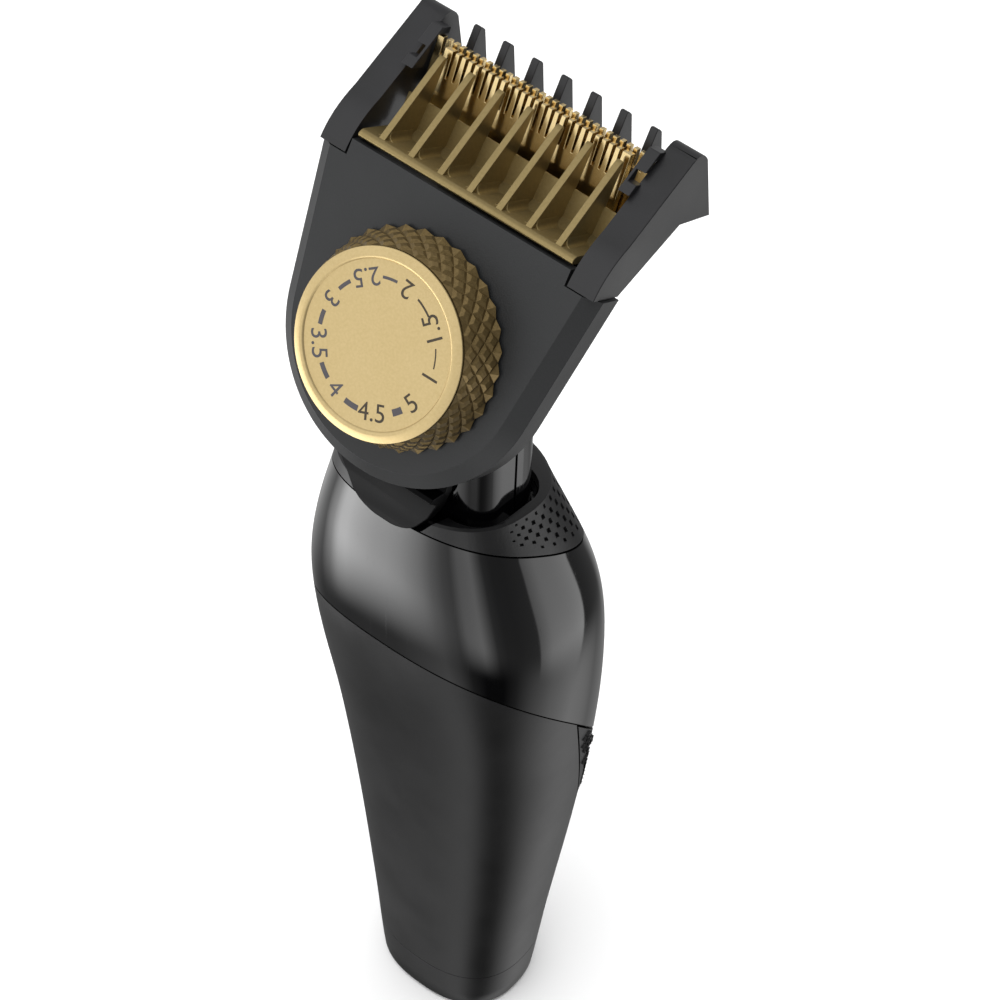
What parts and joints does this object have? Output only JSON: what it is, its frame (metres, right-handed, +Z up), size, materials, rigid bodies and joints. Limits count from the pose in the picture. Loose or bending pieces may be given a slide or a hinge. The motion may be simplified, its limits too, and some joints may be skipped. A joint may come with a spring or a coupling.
{
  "type": "beard trimmer",
  "caption": "Cordless beard trimmer with a tapered handle, an angled toothed blade and a dial-set sliding comb attachment.",
  "frame": {"origin": "centre of the flat base face of the handle", "axes": "+Z up the handle towards the blade, -Y towards the dial side, +X to the right seen from the dial side"},
  "size_m": [0.04, 0.0415, 0.1662],
  "materials": {
    "gloss_black": "polished piano black",
    "satin_black": "satin, fine grain",
    "grip_rubber": "soft, dotted",
    "black_plastic": "fine grain",
    "cover_grey": "fine-grained dark grey",
    "dial_bronze": "knurled bronze lacquer",
    "dial_gold": "satin gold lacquer",
    "rib_bronze": "bronze metallic plastic",
    "blade_gold": "titanium-coloured polished steel",
    "steel": "bare steel",
    "contact": "plated",
    "board": "solder mask",
    "cell": "shrink sleeve",
    "lamp": "clear light pipe"
  },
  "bodies": {
    "handle": {"lower_shell": "satin_black", "upper_shell": "gloss_black", "shoulder_grip": "grip_rubber", "rear_grip": "grip_rubber", "base_cap": "satin_black", "charging_socket": "black_plastic", "charge_pin_left": "contact", "charge_pin_right": "contact", "button_switch": "steel", "status_light": "lamp", "circuit_board": "board", "battery": "cell", "inner_frame": "black_plastic", "motor": "steel", "motor_bracket": "black_plastic", "neck_front": "gloss_black", "neck_rear": "gloss_black", "neck_seal": "grip_rubber", "lever_pin": "steel", "blade_holder": "black_plastic", "fixed_blade": "blade_gold", "cutter_spring": "steel", "blade_screw_left": "steel", "blade_screw_right": "steel"},
    "button": {"power_button": "gloss_black"},
    "rotor": {"motor_eccentric": "steel"},
    "lever": {"drive_lever": "black_plastic"},
    "cutter": {"cutter": "blade_gold"},
    "comb_attachment": {"comb_cover": "cover_grey", "comb_base": "black_plastic", "detent_spring": "steel"},
    "tongue": {"release_tongue": "black_plastic"},
    "dial": {"dial_grip": "dial_bronze", "dial_cap": "dial_gold", "dial_cam": "black_plastic", "dial_screw": "steel"},
    "comb": {"comb_frame": "black_plastic", "comb_carriage": "black_plastic", "follower_pin": "steel", "rib_comb": "rib_bronze"}
  },
  "joints": [
    {"name": "power_press", "type": "slide", "parent": "handle", "child": "button", "axis": [0, -1, 0], "range_m": [0, 0.0008], "stiffness_N_per_m": 800},
    {"name": "rotor_spin", "type": "hinge", "parent": "handle", "child": "rotor", "pos_m": [0, -0.0044, 0.101], "axis": [0, 0, 1], "continuous": true},
    {"name": "lever_rock", "type": "hinge", "parent": "handle", "child": "lever", "pos_m": [0, -0.006, 0.1235], "axis": [0, 1, 0], "range_deg": [-2, 2]},
    {"name": "cutter_stroke", "type": "slide", "parent": "handle", "child": "cutter", "axis": [1, 0, 0], "range_m": [-0.00098, 0.00098]},
    {"name": "comb_release", "type": "hinge", "parent": "handle", "child": "comb_attachment", "pos_m": [0, 0.01027, 0.16523], "axis": [-1, 0, 0], "range_deg": [0, 7]},
    {"name": "tongue_flex", "type": "hinge", "parent": "comb_attachment", "child": "tongue", "pos_m": [0, -0.01388, 0.12785], "axis": [-1, 0, 0], "range_deg": [0, 5], "stiffness_Nm_per_rad": 0.2},
    {"name": "dial_turn", "type": "hinge", "parent": "comb_attachment", "child": "dial", "pos_m": [0, -0.0132, 0.1447], "axis": [0, 0.8387, -0.5446], "range_deg": [0, 320]},
    {"name": "comb_slide", "type": "slide", "parent": "comb_attachment", "child": "comb", "axis": [0, 0.5446, 0.8387], "range_m": [0, 0.0056]}
  ],
  "couplings": [
    {"joint": "lever_rock", "follows": "cutter_stroke", "rad_per_m": 35.461},
    {"joint": "dial_turn", "follows": "comb_slide", "rad_per_m": 997.33}
  ]
}
